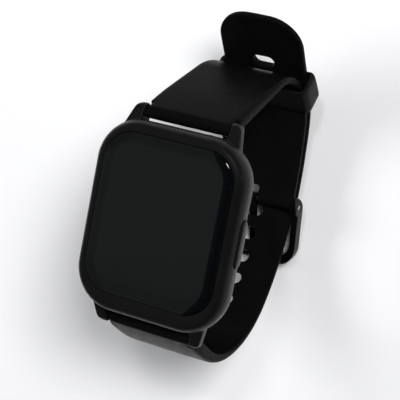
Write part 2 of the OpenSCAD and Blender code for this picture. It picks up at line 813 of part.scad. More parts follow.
case_shell();
cover_glass();
glass_gasket();
display_panel();
display_flex();
inner_frame();
main_board();
board_chips();
battery();
battery_pad();
vibration_motor();
antenna_strip();
sensor_board();
sensor_leds();
rear_cover();
rear_gasket();
sensor_window();
charging_contacts();
rear_screws();
side_button();
button_seal();
button_clip();
button_switch();
switch_plunger();
upper_bar_tube();
upper_bar_fixed_pin();
upper_bar_release_pin();
upper_bar_spring();
lower_bar_tube();
lower_bar_fixed_pin();
lower_bar_release_pin();
lower_bar_spring();
buckle_strap();
tail_strap();
strap_keeper();
buckle_frame();
buckle_tongue();
buckle_bar();
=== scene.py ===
import bpy
import bmesh
import math
import numpy as np
from mathutils import Matrix, Vector

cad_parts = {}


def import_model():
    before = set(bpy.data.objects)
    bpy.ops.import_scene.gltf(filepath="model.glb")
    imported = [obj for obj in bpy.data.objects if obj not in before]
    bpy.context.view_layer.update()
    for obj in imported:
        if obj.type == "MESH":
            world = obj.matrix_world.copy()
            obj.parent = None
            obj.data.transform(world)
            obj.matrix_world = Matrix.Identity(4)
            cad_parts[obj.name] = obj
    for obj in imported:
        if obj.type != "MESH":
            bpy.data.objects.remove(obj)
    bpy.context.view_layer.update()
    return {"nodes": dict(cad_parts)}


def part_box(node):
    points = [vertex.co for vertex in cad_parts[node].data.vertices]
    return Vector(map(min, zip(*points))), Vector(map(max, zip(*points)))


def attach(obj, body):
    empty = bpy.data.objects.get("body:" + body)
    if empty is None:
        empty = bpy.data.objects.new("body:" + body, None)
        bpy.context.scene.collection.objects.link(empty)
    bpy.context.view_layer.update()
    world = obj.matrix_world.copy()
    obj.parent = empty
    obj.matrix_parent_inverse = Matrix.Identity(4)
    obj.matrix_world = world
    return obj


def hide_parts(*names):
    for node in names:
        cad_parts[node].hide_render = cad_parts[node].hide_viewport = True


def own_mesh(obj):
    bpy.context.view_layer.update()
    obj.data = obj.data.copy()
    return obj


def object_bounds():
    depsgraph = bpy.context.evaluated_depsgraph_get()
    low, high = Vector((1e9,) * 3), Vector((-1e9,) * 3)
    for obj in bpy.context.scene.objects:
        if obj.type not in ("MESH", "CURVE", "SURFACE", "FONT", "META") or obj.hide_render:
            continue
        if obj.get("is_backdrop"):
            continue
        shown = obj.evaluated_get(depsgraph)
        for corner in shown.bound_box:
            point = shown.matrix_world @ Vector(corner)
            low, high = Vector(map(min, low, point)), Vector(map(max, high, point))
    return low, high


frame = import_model()

# Shapes are worked out in mm in the case's frame: its Z is 0 on the face of the glass.
MM = 0.001
FACE_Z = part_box("cover_glass")[1].z / MM  # glass face above the frame's origin

# Case
CASE_W, CASE_L, CASE_R = 34.8, 40.8, 9.4
WIDEST_Z = -3.2              # height of the case's widest outline
SHOULDER_IN, SHOULDER_H = 1.9, 2.78   # rounded shoulder above it
BELLY_IN, BELLY_H = 5.5, 7.0          # rounded side below it
GLASS_W, GLASS_L, GLASS_R = 30.2, 34.2, 6.6
GLASS_T = 1.4
GLASS_RIM_Z = -0.62          # where the curved edge of the glass starts
GLASS_CURVE = 2.9            # width of the curved edge
GLASS_SHIFT = 0.7            # glass towards 12 o'clock from the middle of the case
BUTTON_L, BUTTON_W = 9.6, 2.4
SCREW_X, SCREW_Y = 10.2, 13

# Strap: arcs are (length, turn in degrees) from each spring bar
BAR_Y, BAR_Z = 22.1, -6.3
END_R = 1.5                  # radius of the strap ends round the spring bars
BUCKLE_START, BUCKLE_ARCS = 61.5, [(10.5, 3.5), (11.9, 0), (25.6, 103), (18, 12)]
TAIL_START, TAIL_ARCS = 60, [(11, 6), (12, 31), (19, 54), (17, 19)]
BUCKLE_HALF_T, TAIL_HALF_T, LAP_GAP = 1.9, 1.8, 0.35
LAP = BUCKLE_HALF_T / 2 + LAP_GAP + TAIL_HALF_T / 2
TAIL_LEAVES_AT = 40.08       # where the tail stops following the buckle half
TAIL_FREE_L = 21.1
TAIL_TIP_R = 7.5
BRIDGE_HANDLE = 3.3          # how long the tail keeps its direction where it crosses the buckle
BRIDGE_STEPS = 24
BUCKLE_END_R = 1.15          # radius of the buckle half round the buckle bar
BUCKLE_END_L = 2.4           # length over which it thickens to that
BUCKLE_BAR_LIFT = 0.2
FREE_HALF_W = 10.1           # half the strap's width at its free end
CROWN = 0.10                 # how much higher the outer face is in its middle
KNOB_X = 8.65                # middle of the opening for the knob of the release pin
SLOT_W, SLOT_L, SLOT_PITCH = 5.3, 2.9, 5.6
SLOTS_WORN, SLOTS_FREE = 4, 7
ROW_STEP = 0.42              # distance between the rows of a strap's mesh

# Keeper
KEEPER_AT, KEEPER_L = 38.4, 7.0
KEEPER_IN = BUCKLE_HALF_T / 2 + 0.72
KEEPER_OUT = BUCKLE_HALF_T / 2 + LAP_GAP + TAIL_HALF_T + 0.7
KEEPER_HALF_W, KEEPER_WALL, KEEPER_SIDE_WALL = 10.5, 0.5, 1.4


# ---------------------------------------------------------------- paths of the strap halves

def heading(deg):
    a = math.radians(deg)
    return np.array([math.cos(a), -math.sin(a)])


def arc_point(p, h, length, turn, s):
    if abs(turn) < 0.01:
        return p + s * heading(h)
    r = length / math.radians(turn)
    a, b = math.radians(h + turn * s / length), math.radians(h)
    return p + r * np.array([math.sin(a) - math.sin(b), math.cos(a) - math.cos(b)])


def chain(start, h, arcs, step=0.25):
    """Points along a chain of arcs in the (Y, Z) plane of the case."""
    pts, p = [], np.array(start, float)
    for length, turn in arcs:
        n = math.ceil(length / step)
        pts += [arc_point(p, h, length, turn, length * i / n) for i in range(n)]
        p, h = arc_point(p, h, length, turn, length), h + turn
    return np.array(pts + [p])


def lengths(pts):
    return np.concatenate([[0], np.cumsum(np.linalg.norm(np.diff(pts, axis=0), axis=1))])


def normals(pts):
    d = np.gradient(pts, axis=0)
    d /= np.linalg.norm(d, axis=1)[:, None]
    return np.stack([-d[:, 1], d[:, 0]], axis=1)


class Path:
    """A line in the (Y, Z) plane of the case, read by the distance along it."""

    def __init__(self, pts):
        self.pts = pts
        self.s = lengths(pts)
        self.n = normals(pts)
        self.length = self.s[-1]

    def at(self, s):
        """Point, normal and direction at s; runs straight on past both ends."""
        t = min(max(s, 0.0), self.length)
        p = np.array([np.interp(t, self.s, self.pts[:, k]) for k in (0, 1)])
        n = np.array([np.interp(t, self.s, self.n[:, k]) for k in (0, 1)])
        n /= np.linalg.norm(n)
        d = np.array([n[1], -n[0]])
        return p + (s - t) * d, n, d


buckle_pts = chain((BAR_Y, BAR_Z), BUCKLE_START, BUCKLE_ARCS)
buckle_path = Path(buckle_pts)
AXIS = buckle_pts[-1] + np.array([0, BUCKLE_BAR_LIFT])

# The tail: round the wrist, across the buckle, back along the buckle half and straight on
wrap = chain((BAR_Y, BAR_Z), TAIL_START, TAIL_ARCS) * np.array([-1, 1])
back = buckle_pts[::-1]
back = back[buckle_path.s[::-1] >= TAIL_LEAVES_AT]
lap = back - LAP * normals(back)
wrap_dir = wrap[-1] - wrap[-2]
wrap_dir /= np.linalg.norm(wrap_dir)
handles = [wrap[-1], wrap[-1] + BRIDGE_HANDLE * wrap_dir, lap[0] - np.array([BRIDGE_HANDLE, 0]), lap[0]]
ts = np.linspace(0, 1, BRIDGE_STEPS + 1)[1:-1, None]
bridge = ((1 - ts) ** 3 * handles[0] + 3 * (1 - ts) ** 2 * ts * handles[1]
          + 3 * (1 - ts) * ts * ts * handles[2] + ts ** 3 * handles[3])
tip_dir = lap[-1] - lap[-2]
tip_dir /= np.linalg.norm(tip_dir)
tip = lap[-1] + np.linspace(0, TAIL_FREE_L, 60)[1:, None] * tip_dir
tail_path = Path(np.concatenate([wrap, bridge, lap, tip]))
SLOT_AT = tail_path.s[len(wrap) + BRIDGE_STEPS // 2 - 1]  # the slot the tongue stands in


def world(p, x):
    """A point of the case's (Y, Z) plane, moved across by x, in metres in the frame."""
    return Vector((x * MM, p[0] * MM, (p[1] + FACE_Z) * MM))


# ---------------------------------------------------------------- mesh helpers

def new_object(name, verts, faces, sharp=40):
    mesh = bpy.data.meshes.new(name)
    mesh.from_pydata([tuple(v) for v in verts], [], faces)
    mesh.validate()
    obj = bpy.data.objects.new(name, mesh)
    bpy.context.scene.collection.objects.link(obj)
    tidy(obj, sharp)
    return obj


def tidy(obj, sharp=40):
    """Merges doubles, points the faces outwards and marks edges sharper than the angle."""
    bm = bmesh.new()
    bm.from_mesh(obj.data)
    bmesh.ops.remove_doubles(bm, verts=bm.verts, dist=2e-6)
    bmesh.ops.dissolve_degenerate(bm, edges=bm.edges, dist=1e-6)
    bmesh.ops.recalc_face_normals(bm, faces=bm.faces)
    for f in bm.faces:
        f.smooth = True
    limit = math.radians(sharp)
    for e in bm.edges:
        e.smooth = len(e.link_faces) != 2 or e.calc_face_angle(0) < limit
    bm.to_mesh(obj.data)
    bm.free()
    return obj


def apply_modifiers(obj):
    dg = bpy.context.evaluated_depsgraph_get()
    mesh = bpy.data.meshes.new_from_object(obj.evaluated_get(dg))
    obj.modifiers.clear()
    old = obj.data
    obj.data = mesh
    bpy.data.meshes.remove(old)
    return obj


def drop(obj):
    mesh = obj.data
    bpy.data.objects.remove(obj)
    bpy.data.meshes.remove(mesh)


def joined(name, objects):
    """One object holding the meshes of several, which are dropped."""
    bm = bmesh.new()
    for o in objects:
        bm.from_mesh(o.data)
    mesh = bpy.data.meshes.new(name)
    bm.to_mesh(mesh)
    bm.free()
    for o in objects:
        drop(o)
    obj = bpy.data.objects.new(name, mesh)
    bpy.context.scene.collection.objects.link(obj)
    return obj


def cut(obj, cutter, operation="DIFFERENCE", sharp=35):
    mod = obj.modifiers.new("cut", "BOOLEAN")
    mod.operation = operation
    mod.solver = "EXACT"
    mod.object = cutter
    apply_modifiers(obj)
    drop(cutter)
    return tidy(obj, sharp)


def melt(obj, voxel, rounds, sharp=60):
    """Rounds every edge of a closed mesh: remeshes it finely, then smooths it."""
    mod = obj.modifiers.new("remesh", "REMESH")
    mod.mode = "VOXEL"
    mod.voxel_size = voxel * MM
    mod.adaptivity = 0
    mod = obj.modifiers.new("smooth", "SMOOTH")
    mod.factor = 0.5
    mod.iterations = rounds
    apply_modifiers(obj)
    return tidy(obj, sharp)


def node_copy(name, node, sharp=40):
    obj = bpy.data.objects.new(name, frame["nodes"][node].data.copy())
    obj.data.materials.clear()
    bpy.context.scene.collection.objects.link(obj)
    return tidy(obj, sharp)


def rounded_rect(w, l, r, n=12):
    """Outline points of a rounded rectangle, anticlockwise from the +X side."""
    pts = []
    for k, (sx, sy) in enumerate([(1, 1), (-1, 1), (-1, -1), (1, -1)]):
        for i in range(n + 1):
            a = math.radians(90 * k + 90 * i / n)
            pts.append((sx * (w / 2 - r) + r * math.cos(a), sy * (l / 2 - r) + r * math.sin(a)))
    return pts


def stack(name, rings, sharp=40):
    """Closed solid through rings of points, capped at both ends."""
    n = len(rings[0])
    verts = [v for ring in rings for v in ring]
    faces = []
    for i in range(len(rings) - 1):
        for k in range(n):
            a, b = i * n + k, i * n + (k + 1) % n
            faces.append((a, b, b + n, a + n))
    faces.append(tuple(range(n - 1, -1, -1)))
    faces.append(tuple((len(rings) - 1) * n + k for k in range(n)))
    return new_object(name, verts, faces, sharp)


def plate_stack(name, layers, shift=0.0, n=12, sharp=40):
    """Stack of rounded rectangles: (width, length, corner radius, height) each, in mm."""
    rings = []
    for w, l, r, z in layers:
        rings.append([(x * MM, (y + shift) * MM, (z + FACE_Z) * MM)
                      for x, y in rounded_rect(w, l, r, n)])
    return stack(name, rings, sharp)


def circle_x(x, r, y, z, sides):
    """Circle round an axis along X, in the case's frame."""
    return [(x * MM, (y + r * math.cos(2 * math.pi * k / sides)) * MM,
             (z + r * math.sin(2 * math.pi * k / sides) + FACE_Z) * MM) for k in range(sides)]


def rod(name, x0, x1, r, y, z, sides=48):
    """Rod along X, in the case's frame."""
    return stack(name, [circle_x(x, r, y, z, sides) for x in (x0, x1)])


def lathe(name, profile, centre, sides=96, sharp=40):
    """Solid of revolution about Z through (radius, height) points, in mm, in the case's frame."""
    rings = []
    for r, z in profile:
        rings.append([((centre[0] + r * math.cos(2 * math.pi * k / sides)) * MM,
                       (centre[1] + r * math.sin(2 * math.pi * k / sides)) * MM,
                       (z + FACE_Z) * MM) for k in range(sides)])
    return stack(name, rings, sharp)


# ---------------------------------------------------------------- materials

def fill_ramp(ramp, stops):
    """Sets a colour ramp's stops: (position, (red, green, blue)) each."""
    elements = ramp.color_ramp.elements
    while len(elements) < len(stops):
        elements.new(0.5)
    for element, (position, colour) in zip(elements, stops):
        element.position = position
        element.color = (*colour, 1)


def scaled(tint, factor):
    return tuple(min(1, c * factor) for c in tint)


class Mat:
    """Shorthand for building a node material."""

    def __init__(self, name):
        self.m = bpy.data.materials.new(name)
        self.m.use_nodes = True
        self.t = self.m.node_tree
        self.bsdf = self.t.nodes["Principled BSDF"]
        self.coord = self.t.nodes.new("ShaderNodeTexCoord")

    def node(self, kind, **inputs):
        n = self.t.nodes.new(kind)
        for k, v in inputs.items():
            n.inputs[k.replace("_", " ")].default_value = v
        return n

    def link(self, a, b):
        self.t.links.new(a, b)

    def noise(self, scale, detail=4.0, rough=0.55, stretch=None):
        n = self.node("ShaderNodeTexNoise", Scale=scale, Detail=detail, Roughness=rough)
        src = self.coord.outputs["Object"]
        if stretch:
            mapping = self.node("ShaderNodeMapping")
            mapping.inputs["Scale"].default_value = stretch
            self.link(src, mapping.inputs["Vector"])
            src = mapping.outputs["Vector"]
        self.link(src, n.inputs["Vector"])
        return n.outputs["Fac"]

    def ramp(self, fac, stops):
        n = self.t.nodes.new("ShaderNodeValToRGB")
        fill_ramp(n, stops)
        self.link(fac, n.inputs["Fac"])
        return n.outputs["Color"]

    def span(self, fac, low, high, a=0.3, b=0.7):
        """Maps fac from a..b to low..high."""
        n = self.t.nodes.new("ShaderNodeMapRange")
        n.inputs["From Min"].default_value = a
        n.inputs["From Max"].default_value = b
        n.inputs["To Min"].default_value = low
        n.inputs["To Max"].default_value = high
        self.link(fac, n.inputs["Value"])
        return n.outputs["Result"]

    def mix(self, fac, a, b):
        n = self.t.nodes.new("ShaderNodeMix")
        n.data_type = "RGBA"
        self.link(fac, n.inputs[0])
        for v, i in ((a, 6), (b, 7)):
            if isinstance(v, tuple):
                n.inputs[i].default_value = (*v, 1)
            else:
                self.link(v, n.inputs[i])
        return n.outputs[2]

    def edges(self, low=0.5, high=0.58):
        """1 along outer edges, where paler wear and painted highlights go, 0 on faces."""
        geo = self.t.nodes.new("ShaderNodeNewGeometry")
        return self.span(geo.outputs["Pointiness"], 0.0, 1.0, low, high)

    def bump(self, height, strength, distance):
        n = self.node("ShaderNodeBump", Strength=strength, Distance=distance)
        self.link(height, n.inputs["Height"])
        return n.outputs["Normal"]

    def set(self, **inputs):
        for k, v in inputs.items():
            self.bsdf.inputs[k.replace("_", " ")].default_value = v
        return self

    def finish(self, colour, rough, normal=None):
        for v, key in ((colour, "Base Color"), (rough, "Roughness"), (normal, "Normal")):
            if v is not None:
                self.link(v, self.bsdf.inputs[key])
        return self.m


def silicone(name, tint, rough, wear_and_highlight, specular=0.08):
    """Soft rubber: faint clouding, fine grain, dust specks and paler edges that are partly wear and partly
    painted highlight.
    """
    m = Mat(name)
    cloud = m.noise(220, 3)
    fine = m.noise(6500, 2, 0.6)
    specks = m.noise(5200, 1, 0.4)
    base = m.ramp(cloud, [(0.3, scaled(tint, 0.86)), (0.7, scaled(tint, 1.12))])
    dusty = m.mix(m.span(specks, 0, 0.35, 0.66, 0.8), base, wear_and_highlight)
    # Paler colour along the edges: partly wear, partly a painted highlight on the rims.
    colour = m.mix(m.span(m.edges(0.51, 0.6), 0, 0.35, 0, 1), dusty, wear_and_highlight)
    roughness = m.span(m.noise(500, 5), rough - 0.05, rough + 0.07)
    normal = m.bump(fine, 0.12, 0.00004)
    m.set(IOR=1.4, Specular_IOR_Level=specular)
    return m.finish(colour, roughness, normal)


def moulded(name, tint, rough, wear_and_highlight, grain=0.25, metallic=0.0, coat=0.0, specular=0.22):
    """Blasted plastic or coated metal with paler edges that are partly wear and partly painted highlight.
    """
    m = Mat(name)
    cloud = m.noise(150, 4)
    blast = m.noise(14000, 2, 0.7)
    base = m.ramp(cloud, [(0.3, scaled(tint, 0.88)), (0.7, scaled(tint, 1.1))])
    # Paler colour along the edges: partly wear, partly a painted highlight on the rims.
    colour = m.mix(m.span(m.edges(0.515, 0.6), 0, 0.5, 0, 1), base, wear_and_highlight)
    roughness = m.span(m.noise(900, 5), rough - 0.05, rough + 0.06)
    normal = m.bump(blast, grain, 0.00002)
    m.set(Metallic=metallic, Coat_Weight=coat, Coat_Roughness=0.25, Specular_IOR_Level=specular)
    return m.finish(colour, roughness, normal)


def metal(name, tint, rough):
    """Bare metal turned or drawn along X."""
    m = Mat(name)
    lines = m.noise(1.0, 3, 0.6, (60.0, 4000.0, 4000.0))
    cloud = m.noise(400, 4)
    base = m.ramp(cloud, [(0.3, scaled(tint, 0.9)), (0.7, scaled(tint, 1.06))])
    colour = m.mix(m.span(lines, 0, 0.25), base, scaled(tint, 0.7))
    roughness = m.span(lines, rough - 0.06, rough + 0.1)
    m.set(Metallic=1.0)
    return m.finish(colour, roughness, m.bump(lines, 0.12, 0.00001))


def glassy(name, tint, rough, depth):
    """Polished dark glass with faint smudges and dust."""
    m = Mat(name)
    smudge = m.noise(120, 5, 0.6)
    dust = m.noise(6500, 1, 0.4)
    base = m.mix(m.span(dust, 0, 0.5, 0.72, 0.8), m.ramp(smudge, [(0.35, tint), (0.7, depth)]),
                 (0.09, 0.095, 0.1))
    roughness = m.span(smudge, rough, rough + 0.035)
    m.set(IOR=1.5)
    return m.finish(base, roughness, m.bump(m.noise(260, 2), 0.02, 0.00002))


def board_mask(name):
    """Solder mask with the ridges of the tracks below it."""
    m = Mat(name)
    tracks = m.node("ShaderNodeTexVoronoi", Scale=900)
    tracks.feature = "DISTANCE_TO_EDGE"
    m.link(m.coord.outputs["Object"], tracks.inputs["Vector"])
    lines = m.span(tracks.outputs["Distance"], 1.0, 0.0, 0.02, 0.07)
    base = m.ramp(m.noise(300, 3), [(0.3, (0.008, 0.07, 0.03)), (0.7, (0.012, 0.1, 0.045))])
    colour = m.mix(m.span(lines, 0, 0.6, 0, 1), base, (0.03, 0.2, 0.09))
    return m.finish(colour, m.span(m.noise(800, 3), 0.3, 0.42), m.bump(lines, 0.2, 0.00003))


# Each: colour, roughness, paler colour for wear and painted edge highlights, then grain for the moulded
# ones
M_STRAP = silicone("strap_silicone", (0.0034, 0.0034, 0.0037), 0.30, (0.007, 0.007, 0.0078), 0.02)
M_KEEPER = silicone("keeper_silicone", (0.0062, 0.0062, 0.0066), 0.40, (0.016, 0.016, 0.017), 0.1)
M_SEAL = silicone("seal_rubber", (0.012, 0.012, 0.012), 0.6, (0.03, 0.03, 0.03))
M_CASE = moulded("case_shell_finish", (0.0056, 0.0056, 0.0056), 0.35, (0.018, 0.018, 0.018), 0.3,
                 specular=0.13)
M_COVER = moulded("rear_cover_finish", (0.009, 0.009, 0.0095), 0.36, (0.025, 0.025, 0.026), 0.22)
M_BUTTON = moulded("button_finish", (0.006, 0.006, 0.0063), 0.27, (0.03, 0.03, 0.031), 0.08)
M_BUCKLE = moulded("buckle_coating", (0.0022, 0.0022, 0.0024), 0.3, (0.012, 0.012, 0.013), 0.15,
                   specular=0.1)
M_TRAY = moulded("tray_plastic", (0.05, 0.05, 0.055), 0.5, (0.09, 0.09, 0.1))
M_CHIP = moulded("chip_epoxy", (0.02, 0.02, 0.022), 0.45, (0.06, 0.06, 0.06), 0.4)
M_FOIL = moulded("battery_wrap", (0.55, 0.56, 0.6), 0.33, (0.7, 0.7, 0.72), 0.1, metallic=0.7)
M_FLEX = moulded("flex_film", (0.5, 0.22, 0.05), 0.35, (0.6, 0.3, 0.1), 0.1)
M_LED = moulded("led_lens", (0.15, 0.6, 0.22), 0.15, (0.3, 0.7, 0.4), 0.05, coat=0.5)
M_STEEL = metal("bar_steel", (0.5, 0.5, 0.52), 0.28)
M_DARK_STEEL = metal("screw_steel", (0.16, 0.16, 0.17), 0.35)
M_GOLD = metal("contact_gold", (0.83, 0.6, 0.24), 0.22)
M_GLASS = glassy("cover_glass_black", (0.0014, 0.0017, 0.0019), 0.03, (0.002, 0.0024, 0.0026))
M_SENSOR = glassy("sensor_glass_black", (0.004, 0.005, 0.012), 0.04, (0.006, 0.008, 0.016))
M_DISPLAY = glassy("display_black", (0.004, 0.004, 0.005), 0.12, (0.006, 0.006, 0.008))
M_BOARD = board_mask("board_mask")


def dress(obj, material, slot=None, body=None, *nodes):
    """Gives a piece its material; a new piece also gets its body and has the nodes it replaces hidden; the
    slot argument is not used.
    """
    obj.data.materials.clear()
    obj.data.materials.append(material)
    if body:
        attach(obj, body)
    if nodes:
        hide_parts(*nodes)
    return obj


# ---------------------------------------------------------------- case

def case_inset(z):
    """How far the case side stands in from its widest outline at a height."""
    if z > WIDEST_Z:
        u = min((z - WIDEST_Z) / SHOULDER_H, 1.0)
        return SHOULDER_IN * (1 - math.sqrt(1 - u * u))
    u = (WIDEST_Z - z) / BELLY_H
    return BELLY_IN * (1 - math.sqrt(1 - u * u))


def lug_points(sx, sy):
    """Points that fill one lug; their hull is the lug."""
    pts = []
    for y in np.arange(14.0, 23.71, 0.1):
        if y < 18.4:
            top = -2.8 - 0.3 * (y - 15) / 3.4
        else:
            nose = BAR_Z + math.sqrt(max(0, 1.62 ** 2 - max(0, y - BAR_Y) ** 2))
            top = min(-3.1 - 1.71 * (y - 18.4) / 4.3, nose)
        low = -8.4 + 0.5 * (y - 15) / 7.1 if y < BAR_Y else BAR_Z - math.sqrt(
            max(0, 1.6 ** 2 - (y - BAR_Y) ** 2))
        plan = np.interp(y, [14, 19, 21.8], [14, 13.4, 12.5])
        if y > 21.8:
            plan = 10.6 + math.sqrt(max(0, 1.9 ** 2 - (y - 21.8) ** 2))
        for z in np.linspace(low, top, 7):
            end = np.interp(z, [-8.6, BAR_Z, -4.6], [11.6, 12.1, 14])
            for x in (10.0, min(plan, end)):
                pts.append((sx * x * MM, sy * y * MM, (z + FACE_Z) * MM))
    return pts


def hull_of(name, pts):
    bm = bmesh.new()
    for p in pts:
        bm.verts.new(p)
    made = bmesh.ops.convex_hull(bm, input=bm.verts)
    inside = set(made["geom_interior"]) | set(made["geom_unused"])
    bmesh.ops.delete(bm, geom=[g for g in inside if isinstance(g, bmesh.types.BMVert)], context="VERTS")
    mesh = bpy.data.meshes.new(name)
    bm.to_mesh(mesh)
    bm.free()
    obj = bpy.data.objects.new(name, mesh)
    bpy.context.scene.collection.objects.link(obj)
    return obj


def button_place():
    """Inner end of the button, and the middle of its face."""
    lo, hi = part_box("side_button")
    return lo.x / MM, (lo.y + hi.y) / 2 / MM, (lo.z + hi.z) / 2 / MM - FACE_Z


def case_shell():
    """Hollow case with its four lugs, melted together, then cut for all that it holds."""
    heights = [-9.2, -9.1] + list(np.linspace(-8.8, WIDEST_Z, 20))
    heights += list(WIDEST_Z + SHOULDER_H * np.sin(np.linspace(0.12, math.pi / 2 * 0.985, 14)))
    layers = []
    for z in heights:
        i = case_inset(z) + (0.12 if z < -9.15 else 0)
        layers.append((CASE_W - 2 * i, CASE_L - 2 * i, CASE_R - i, z))
    layers.append((CASE_W - 4.1, CASE_L - 4.1, CASE_R - 2.0, -0.40))
    body = plate_stack("case_body", layers, n=24)
    lugs = [hull_of("lug", lug_points(sx, sy)) for sx in (1, -1) for sy in (1, -1)]
    shell = joined("case_shell_body", [body] + lugs)
    melt(shell, 0.2, 9)
    rim = ((0.04, 0.02, -1.6), (0.04, 0.02, -0.6), (0.07, 0.03, -0.53),
           (0.14, 0.07, -0.47), (0.24, 0.12, -0.43), (0.26, 0.13, 1))  # (growth, corner growth, height)
    seat = [(GLASS_W + g, GLASS_L + g, GLASS_R + r, z) for g, r, z in rim]
    cut(shell, plate_stack("seat", seat, GLASS_SHIFT, 20))
    cut(shell, plate_stack("works", [(28.4, 32, 5.5, -7.6), (28.4, 32, 5.5, -1)], 0.35, 12))
    cut(shell, plate_stack("rear_opening", [(25.4, 30.4, 5, -8.6), (25.4, 30.4, 5, -6)], 0, 12))
    cut(shell, plate_stack("rear_recess", [(28.0, 33.4, 7.0, -11), (27.9, 33.3, 6.95, -9.2),
                                           (27.4, 32.8, 6.6, -9.0), (27.4, 32.8, 6.6, -8.1)], 0, 16))
    corners = [(x, y) for x in (SCREW_X, -SCREW_X) for y in (SCREW_Y, -SCREW_Y)]
    bosses = [lathe("boss", [(1.5, -8.1), (1.5, -3.3)], c, 24) for c in corners]
    cut(shell, joined("bosses", bosses), "UNION")
    screws = [lathe("screw_bore", [(0.52, -9.1), (0.52, -4.6)], c, 20) for c in corners]
    cut(shell, joined("screw_bores", screws))
    _, by, bz = button_place()
    rim = ((16.4, 0.5), (17.1, 0.5), (17.3, 0.62), (17.5, 1.0), (19, 1.0))  # (X, growth)
    recess = [(x, BUTTON_L + g, BUTTON_W + g) for x, g in rim]
    cut(shell, pill("button_recess", by, bz, recess))
    cut(shell, rod("seal_seat", 15.6, 17.4, 1.28, by, bz))
    cut(shell, rod("stem_bore", 12.4, 16.0, 0.8, by, bz))
    holes = [rod("bar_hole", x0, x1, 0.53, sy * BAR_Y, BAR_Z, 32)
             for sy in (1, -1) for x0, x1 in ((9.0, 11.5), (-11.5, -9.0))]
    cut(shell, joined("bar_holes", holes))
    return shell


def pill(name, y, z, sections, n=14, sharp=40):
    """Oblong rod along X through (x, length, height) sections, in the case's frame."""
    rings = []
    for x, l, h in sections:
        rings.append([(x * MM, (y + a) * MM, (z + b + FACE_Z) * MM)
                      for a, b in rounded_rect(l, h, h / 2 - 0.0005, n)])
    return stack(name, rings, sharp)


dress(case_shell(), M_CASE, "case_body", "case", "case_shell")


# ---------------------------------------------------------------- glass

def cover_glass():
    """Plate whose edge curves down to the case all round."""
    levels = [(0, -GLASS_T), (0, -1.0), (0, GLASS_RIM_Z)]  # (inset, height)
    for a in np.linspace(0, math.pi / 2, 20)[1:]:
        levels.append((GLASS_CURVE * (1 - math.cos(a)), GLASS_RIM_Z - GLASS_RIM_Z * math.sin(a) ** 0.92))
    levels += [(4, 0.0), (5.6, 0.0)]
    layers = [(GLASS_W - 2 * e, GLASS_L - 2 * e, max(GLASS_R - e, 1), min(z, 0)) for e, z in levels]
    return plate_stack("cover_glass_body", layers, GLASS_SHIFT, 20, 60)


dress(cover_glass(), M_GLASS, "cover_glass", "case", "cover_glass")


# ---------------------------------------------------------------- straps

# Distances from a strap's edge at which its bevel is drawn
BEVEL = [0, 0.03, 0.1, 0.2, 0.32, 0.46, 0.62, 0.8, 1.05, 1.5]


def across(half):
    """X of the columns of a strap's mesh, close together near both edges."""
    left = [-half + i for i in BEVEL + list(np.linspace(2.4, half, 6))]
    return left + [-x for x in left[-2::-1]]


def outer_drop(d):
    """How far the outer face falls below its full height at a distance from the edge."""
    return float(np.interp(d, BEVEL, [0.62, 0.50, 0.40, 0.30, 0.205, 0.125, 0.07, 0.035, 0.012, 0]))


def inner_drop(d):
    """The same for the inner face, whose bevel is narrower."""
    return float(np.interp(d, BEVEL[:6], [0.42, 0.30, 0.19, 0.1, 0.035, 0]))


def swept_strap(name, path, rows, half_width, thickness, side, end_distance=None, lift=None):
    """Strap solid: rows along the path, columns across it, an outer and an inner face.

    side is 1 where the path's normal points away from the wrist, and -1 where it points to it.
    """
    rings = []
    for s in rows:
        half, h = half_width(s), thickness(s)
        p, n, _ = path.at(s)
        n = n * side
        rise = lift(s) if lift else 0.0
        xs = across(half)
        scale = min(1.0, h / (TAIL_HALF_T / 2))
        top, low = [], []
        for x in xs:
            d = half - abs(x)
            if end_distance:
                d = min(d, end_distance(x, s))
            crown = CROWN * (x / half) ** 2
            up = h - crown * scale - outer_drop(d) * scale
            down = -h + inner_drop(d) * scale
            top.append(world(p + (up + rise) * n, x))
            low.append(world(p + (down + rise) * n, x))
        rings.append(top + low[::-1])
    return stack(name, rings, 34)


def front_half(path):
    """Half width by distance, from the strap's front outline, with shoulders beside the lugs."""
    lug_half, shoulder_at, shoulder_l = 9.75, 1.98, 0.75

    def half(s):
        z = path.at(s)[0][1]
        w = float(np.interp(-z, [0, 12, 27, 32, 80], [21, 21, 20.4, 2 * FREE_HALF_W, 2 * FREE_HALF_W])) / 2
        if s <= shoulder_at:
            return lug_half
        if s < 2.75:
            u = min(max((s - shoulder_at) / shoulder_l, 0.0), 1.0)
            w = lug_half + (w - lug_half) * math.sqrt(max(0.0, 1 - (1 - u) ** 2))
        return w
    return half


def end_rows():
    """Rows round the strap's end tube and out along its shoulder."""
    return [-1.499, -1.49, -1.46, -1.4, -1.3, -1.15, -0.95, -0.7, -0.4, -0.1, 0.3, 0.8, 1.3, 1.7,
            1.96, 1.985, 2.02, 2.08, 2.17, 2.3, 2.5, 2.74]


def round_end(s, r):
    """Half thickness at a distance s beyond the centre of a round end."""
    return math.sqrt(max(r * r - s * s, 0.0001))


def ease(u):
    """Smooth step from 0 to 1."""
    u = min(max(u, 0.0), 1.0)
    return u * u * (3 - 2 * u)


def knob_slot(sign):
    """Opening in the strap's wrist side for the knob of the release pin."""
    a = math.radians(-30)
    verts = []
    for x, y, z in [(x, y, z) for z in (-5, 0) for x, y in rounded_rect(5.1, 1.6, 0.6, 5)]:
        x += KNOB_X
        y, z = y * math.cos(a) - z * math.sin(a), y * math.sin(a) + z * math.cos(a)
        verts.append((x * MM, sign * (y + BAR_Y) * MM, (z + BAR_Z + FACE_Z) * MM))
    half = len(verts) // 2
    return stack("knob_slot", [verts[:half], verts[half:]])


